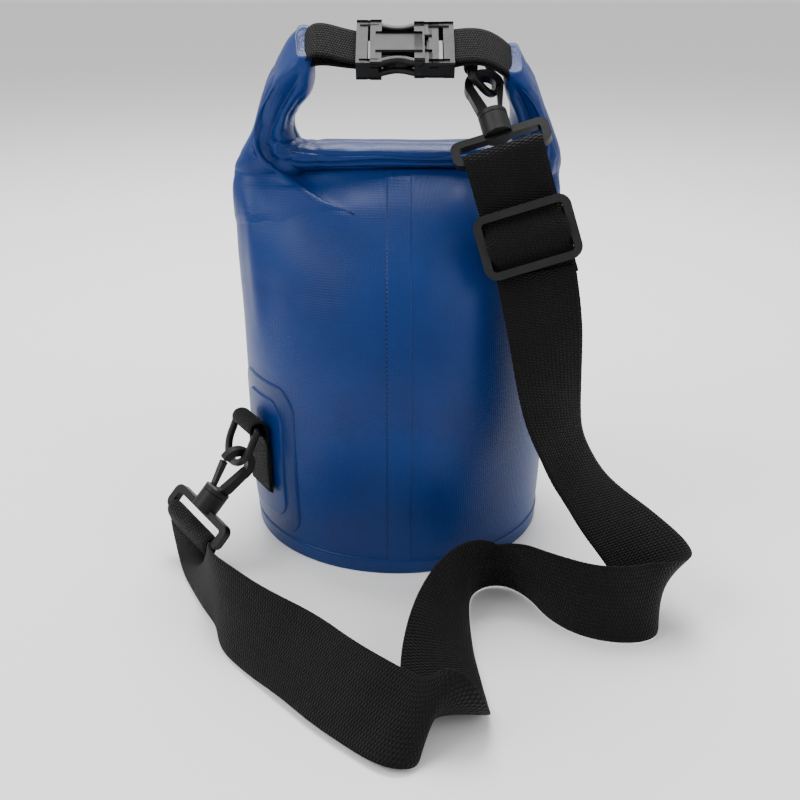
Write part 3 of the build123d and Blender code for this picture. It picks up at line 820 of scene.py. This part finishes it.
# upper strap end: round the frame's bar and down in two layers
UPPER_WRAP = [
    (-42.5, -6.6), (-30, -6.8), (-14, -6.4), (-7, -5.0), (-2.5, -4.0), (0.9, -3.6), (3.3, -1.8), (3.9, 0.6),
    (3.2, 2.9), (0.6, 4.1), (-4, 3.4), (-10, 0.4), (-18, -2.6), (-27, -4.4), (-42, -4.7), (-60, -4.7),
    (-66, -4.7),
]
upper_web = band("upper_strap_web", strap, UPPER_WRAP, BAND_HALF, BAND_THICK, BLACK_WEB, "x")
finish_piece(upper_web, "upper_drop", "webbing", "upper_strap_wrap", "strap_front_layer", "strap_back_layer")

# the strap's end round the slider's centre bar
BULGE = [
    (-13.8, -3.3), (-9.5, -2.4), (-6.0, 0.6), (-3.0, 3.0), (0, 3.5), (3.0, 3.0), (6.0, 0.6), (9.5, -2.4),
    (13.8, -3.3),
]
slider_web = band("slider_web", slide, BULGE, BAND_HALF + 0.8, 1.4, BLACK_WEB, "x")
finish_piece(slider_web, "adjuster", "webbing", "slider_wrap")


# ---------------------------------------------------------------- the free strap
# the CAD tube's route, but for its last five points, which follow the flat band's turn
ROUTE = np.array([
    (69.6, -66.6, 165.6), (75.0, -73.0, 140.0), (78.0, -76.0, 113.0), (82.0, -78.0, 88.0),
    (90.0, -82.0, 66.0), (104.0, -92.0, 48.0), (122.0, -106.0, 34.0), (134.0, -122.0, 24.0),
    (131.0, -139.0, 20.0), (115.0, -146.0, 20.0), (95.0, -144.0, 20.0), (77.0, -131.0, 19.5),
    (64.0, -113.0, 18.0), (52.0, -105.0, 17.5), (40.0, -112.0, 17.0), (29.0, -132.0, 16.5),
    (22.0, -156.0, 14.0), (20.0, -180.0, 8.5), (22.0, -204.0, 5.0), (19.0, -222.0, 6.5),
    (6.0, -228.0, 15.0), (-11.0, -216.0, 17.5), (-28.0, -201.0, 18.0), (-45.0, -182.0, 18.5),
    (-63.0, -167.0, 19.0), (-79.5, -151.0, 19.0), (-91.5, -132.0, 17.8), (-102.0, -108.0, 14.0),
    (-112.0, -79.0, 6.0), (-114.6, -71.2, 14.2)]) * MM
# station along the route (its point number) and the width direction there
TWIST = [
    (0, (-0.955, -0.0, -0.296)),
    (2, (-0.85, -0.45, -0.1)),
    (3.5, (-0.68, -0.70, 0.18)),
    (4.6, (-0.78, -0.58, 0.20)),
    (5.6, (-0.72, -0.55, -0.25)),
    (6.8, (-0.5, -0.48, -0.70)),
    (8, (-0.28, -0.40, -0.87)),
    (9, (-0.2, -0.2, -0.95)),
    (10.5, (-0.18, 0.1, -0.97)),
    (12, (0.05, 0.40, -0.90)),
    (13, (0.1, 0.5, -0.86)),
    (14, (0.2, 0.52, -0.83)),
    (15, (0.48, 0.35, -0.80)),
    (16, (0.75, 0.2, -0.64)),
    (17, (0.9, 0.17, -0.32)),
    (18, (0.90, 0.40, -0.1)),
    (19, (0.66, 0.72, 0.25)),
    (20, (0.48, 0.62, 0.68)),
    (21, (0.42, 0.55, 0.75)),
    (23, (0.4, 0.5, 0.78)),
    (25, (0.36, 0.1, 0.90)),
    (26, (0.25, -0.45, 0.85)),
    (27, (0.38, -0.66, 0.62)),
    (28, (0.58, -0.76, 0.15)),
    (29, (0.637, -0.746, -0.194)),
]
CUT_AT = 17.0           # the two visual pieces meet at this station
TURN_FROM = 26.2        # from here the width swings round to lie along the lower bar
TURN_OVER = 1.8
EDGE_GAP = 1.2          # the least height of the band's middle plane over the floor, for its thickness


def nurbs_line(points, steps=14):
    """The points of a NURBS curve through the route, read back from Blender's own spline."""
    cu = bpy.data.curves.new("strap_line", "CURVE")
    cu.dimensions = "3D"
    sp = cu.splines.new("NURBS")
    sp.points.add(len(points) - 1)
    for q, p in zip(sp.points, points):
        q.co = (*p, 1.0)
    sp.order_u = 3
    sp.use_endpoint_u = True
    sp.resolution_u = steps
    ob = bpy.data.objects.new("strap_line", cu)
    bpy.context.scene.collection.objects.link(ob)
    bpy.context.view_layer.update()
    me = bpy.data.meshes.new_from_object(ob)
    out = np.array([v.co[:] for v in me.vertices])
    bpy.data.objects.remove(ob)
    bpy.data.curves.remove(cu)
    bpy.data.meshes.remove(me)
    return out


def strap_stations(line):
    """For each point of the line, the number of the route point it passes."""
    d = np.linalg.norm(line[:, None] - ROUTE[None], axis=2)
    run = along_line(line)
    window = max(3, int(0.14 * len(line)))
    marks = []
    last = 0
    for k in range(len(ROUTE)):
        last += int(np.argmin(d[last:last + window, k]))
        marks.append(run[last])
    marks[0], marks[-1] = 0.0, run[-1]
    rising = np.maximum.accumulate(marks) + np.arange(len(marks)) * 1e-9
    return np.interp(run, rising, np.arange(len(ROUTE)))


def evened(directions, rounds):
    """Directions along a line, each averaged with its neighbours a number of times."""
    w = directions.copy()
    for _ in range(rounds):
        w[1:-1] = (w[:-2] + 2 * w[1:-1] + w[2:]) / 4
    return unit(w)


def strap_width(line, station):
    """The direction of the band's width along the line: square to it, but for the last turn to the bar."""
    knots = np.array([k for k, _ in TWIST], float)
    drawn = unit(np.array([w for _, w in TWIST]))
    w = evened(np.stack([np.interp(station, knots, drawn[:, i]) for i in range(3)], 1), 12)
    heading = unit(np.gradient(line, axis=0))
    held = 1 - np.clip((station - TURN_FROM) / TURN_OVER, 0, 1)
    return evened(unit(w - heading * ((w * heading).sum(1) * held)[:, None]), 8)


def floor_lift(line, wide):
    """How far the line has to rise so that no edge of the band goes under the floor."""
    need = (np.abs(wide[:, 2]) * BAND_HALF + EDGE_GAP) * MM
    lift = np.maximum(need - line[:, 2], 0)
    for _ in range(30):
        lift[1:-1] = np.maximum(lift[1:-1], (lift[:-2] + lift[2:]) / 2 * 0.995)
    return lift


line = resample(nurbs_line(ROUTE), 1.6 * MM)
station = strap_stations(line)
wide = strap_width(line, station)
line[:, 2] += floor_lift(line, wide)
cut = int(np.argmin(np.abs(station - CUT_AT)))
length = along_line(line)

upper_part = ribbon("strap_upper", line[: cut + 1], wide[: cut + 1], BAND_HALF * MM, BAND_THICK * MM,
                    BLACK_WEB, cols=24, ends=(True, False), square=False)
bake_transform(upper_part)
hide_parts("shoulder_strap")
lower_part = ribbon("strap_lower", line[cut:], wide[cut:], BAND_HALF * MM, BAND_THICK * MM,
                    BLACK_WEB, cols=24, start=length[cut], ends=(False, True), square=False)
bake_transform(lower_part)

# the strap's end sewn round the lower frame's bar
LOWER_WRAP = [
    (-10.5, -2.0), (-7, -2.8), (-2.5, -3.8), (0.9, -3.6), (3.3, -1.8), (3.9, 0.4), (3.2, 2.6), (0.6, 3.8),
    (-3.5, 3.2), (-7.5, 0.8), (-10.5, -0.4),
]
low_web = band("lower_strap_web", low_strap, LOWER_WRAP, BAND_HALF - 0.2, BAND_THICK, BLACK_WEB, "x")
finish_piece(low_web, "lower_drop", "webbing", "lower_strap_wrap")


# ---------------------------------------------------------------- the side tab
TAB_OUT = np.array([math.cos(TAB_TURN), math.sin(TAB_TURN), 0.0])
TAB_LINE = [
    (88.2, 35), (88.4, 45), (88.8, 58), (90.5, 68), (93.5, 72), (96.5, 71.2), (99.2, 73.0), (99.6, 76.0),
    (97.5, 78.8), (94.0, 79.2), (90.6, 77.6), (89.6, 72), (89.8, 62), (89.8, 50), (89.4, 36),
]
# the tab's line: distance from the bag's axis, and height
tab_points = [TAB_OUT * out + np.array([0.0, 0.0, z]) for out, z in TAB_LINE]
tab = ribbon("side_tab_web", resample(smooth_line(tab_points, 3) * MM, 0.7 * MM),
             (-TAB_OUT[1], TAB_OUT[0], 0), 12.3 * MM, 1.4 * MM, FINE_WEB)
finish_piece(tab, "bag", "webbing", "side_tab")


# ---------------------------------------------------------------- the hard parts
BLOCK_EDGE = 0.8        # the rounding of a moulded edge
RAIL_SIDES = 24


def block(place, boxes, name, material):
    """Rounded boxes in a local frame, joined as one mesh: each a centre and a size."""
    bm = bmesh.new()
    for centre, size in boxes:
        verts = bmesh.ops.create_cube(bm, size=1.0)["verts"]
        for v in verts:
            v.co = Vector(place(np.array([v.co[k] * size[k] + centre[k] for k in range(3)])))
        edges = {e for v in verts for e in v.link_edges}
        bevel = min(BLOCK_EDGE, min(size) * 0.42) * MM
        bmesh.ops.bevel(bm, geom=list(edges), offset=bevel, segments=3, profile=0.6, affect="EDGES")
    me = bpy.data.meshes.new(name)
    bm.to_mesh(me)
    bm.free()
    me.polygons.foreach_set("use_smooth", [True] * len(me.polygons))
    me.materials.append(material)
    ob = bpy.data.objects.new(name, me)
    bpy.context.scene.collection.objects.link(ob)
    mod = ob.modifiers.new("edges", "WEIGHTED_NORMAL")
    mod.keep_sharp = True
    return ob


def rail(name, place, line, half_x, half_z, material):
    """A moulded bar of rounded section along a curved line in the local x, z plane."""
    p = resample(place(smooth_line(line, 3)), 0.5 * MM)
    t = unit(np.gradient(p, axis=0))
    up = np.broadcast_to(place.y, p.shape)
    side = np.cross(t, up)
    ang = np.linspace(0, 2 * math.pi, RAIL_SIDES, endpoint=False)
    c, q = np.cos(ang), np.sin(ang)
    r = (np.abs(c) ** 4 + np.abs(q) ** 4) ** -0.25
    verts = (p[:, None] + side[:, None] * (c * r * half_x * MM)[None, :, None]
             + up[:, None] * (q * r * half_z * MM)[None, :, None])
    uv = np.stack([np.repeat(along_line(p) * 1000, RAIL_SIDES), np.tile(ang * 2, len(p))], 1)
    faces = grid_faces(len(p), RAIL_SIDES, True)
    faces.append(tuple(range(RAIL_SIDES))[::-1])
    faces.append(tuple((len(p) - 1) * RAIL_SIDES + k for k in range(RAIL_SIDES)))
    return make_mesh(name, verts.reshape(-1, 3), faces, uv, material)


def both(box, axis):
    """A box and its mirror image along one of the frame's axes."""
    centre, size = box
    other = tuple(-c if k == axis else c for k, c in enumerate(centre))
    return [box, (other, size)]


def buckle():
    """The buckle's socket and plug as open shells with curved side rails."""
    through, across = 1, 2      # the frame's axes through the webbing's thickness and across its width
    socket_boxes = (
        [((-17.6, 0, 0), (4.2, 9.0, 32.5))]
        + both(((-10.6, 3.6, 0), (4.2, 2.6, 32.0)), through)
        + both(((-14.0, 0, 14.6), (8.0, 8.6, 3.2)), across)
        + both(((1.0, 3.9, 0), (22.0, 1.9, 14.0)), through)
        + both(((11.2, 3.9, 0), (3.6, 1.9, 29.0)), through)
        + both(((11.2, 0, 14.0), (3.6, 9.0, 2.4)), across)
    )
    socket = block(handle, socket_boxes, "buckle_socket_shell", BLACK)
    finish_piece(socket, "socket", "black_plastic", "buckle_socket")
    outline = [(-11, 14.8), (-6, 12.6), (-1, 11.2), (4, 11.6), (8, 13.2), (12, 14.0)]
    for sign in (1, -1):
        for level in (3.2, -3.2):
            line = [(x, level, sign * z) for x, z in outline]
            side_rail = rail(f"socket_rail_{sign}_{level}", handle, line, 1.7, 1.5, BLACK)
            finish_piece(side_rail, "socket", "black_plastic")
    plug_boxes = (
        [((26.0, 0, 0), (3.8, 8.0, 31.5))]
        + both(((18.4, 2.9, 0), (3.4, 2.0, 31.0)), through)
        + both(((15.4, 0, 10.6), (2.8, 7.8, 10.0)), across)
        + both(((21.0, 0, 14.2), (9.0, 7.8, 3.0)), across)
        + [((11.0, 0, 0), (13.0, 2.6, 4.2)), ((18.0, 0, 0), (4.5, 5.4, 9.0))]
    )
    plug = block(handle, plug_boxes, "buckle_plug_shell", BLACK)
    finish_piece(plug, "bag", "black_plastic", "buckle_plug")


buckle()

# the CAD's own hard parts stay visible, in their plastics
BLACK_NODES = ("buckle_prong_front", "buckle_prong_rear", "upper_ring", "upper_hook", "upper_gate",
               "upper_frame", "lower_hook", "lower_gate", "lower_frame", "lower_ring")
for name, material in [(n, BLACK) for n in BLACK_NODES] + [("slider", GREY)]:
    nodes[name].data.materials.clear()
    nodes[name].data.materials.append(material)


# ---------------------------------------------------------------- stage, light and camera
FLOOR_HALF = 6.0        # metres, as are the lights' and camera's places
LIGHTS = (              # name, place, size and power
    ("key", (-1.05, -0.45, 1.10), 1.0, 12.0),
    ("fill", (1.1, -0.7, 0.9), 0.9, 5.0),
    ("top", (-0.05, 0.55, 1.30), 0.9, 26.0),
)
LIT_PLACE = (0, 0, 0.12)
CAMERA_AT = (0.0015, -0.5891, 0.3177)
CAMERA_AIM = (0.0015, 0.0, 0.0676)


def turned_to(ob, place, target):
    """Put an object at a place, facing a target."""
    ob.location = place
    ob.rotation_euler = (Vector(target) - Vector(place)).to_track_quat("-Z", "Y").to_euler()


def stage():
    """A pale floor, an even surround and three soft lights."""
    me = bpy.data.meshes.new("floor")
    s = FLOOR_HALF
    me.from_pydata([(-s, -s, 0), (s, -s, 0), (s, s, 0), (-s, s, 0)], [], [(0, 1, 2, 3)])
    floor = bpy.data.objects.new("floor", me)
    bpy.context.scene.collection.objects.link(floor)
    me.materials.append(new_material("floor_pale", (0.88, 0.88, 0.88), 0.9, 0.1)[0])
    world = bpy.data.worlds.new("world")
    bpy.context.scene.world = world
    world.use_nodes = True
    bg = world.node_tree.nodes["Background"]
    bg.inputs[0].default_value = (1.0, 1.0, 1.0, 1)
    bg.inputs[1].default_value = 0.85
    for name, at, size, power in LIGHTS:
        li = bpy.data.lights.new(name, "AREA")
        li.shape = "DISK"
        li.size = size
        li.energy = power
        ob = bpy.data.objects.new(name, li)
        turned_to(ob, at, LIT_PLACE)
        bpy.context.scene.collection.objects.link(ob)


def camera():
    """The photo's viewpoint."""
    cam = bpy.data.cameras.new("camera")
    cam.lens = 48.5
    cam.sensor_width = 36.0
    ob = bpy.data.objects.new("camera", cam)
    turned_to(ob, CAMERA_AT, CAMERA_AIM)
    bpy.context.scene.collection.objects.link(ob)
    bpy.context.scene.camera = ob


stage()
camera()
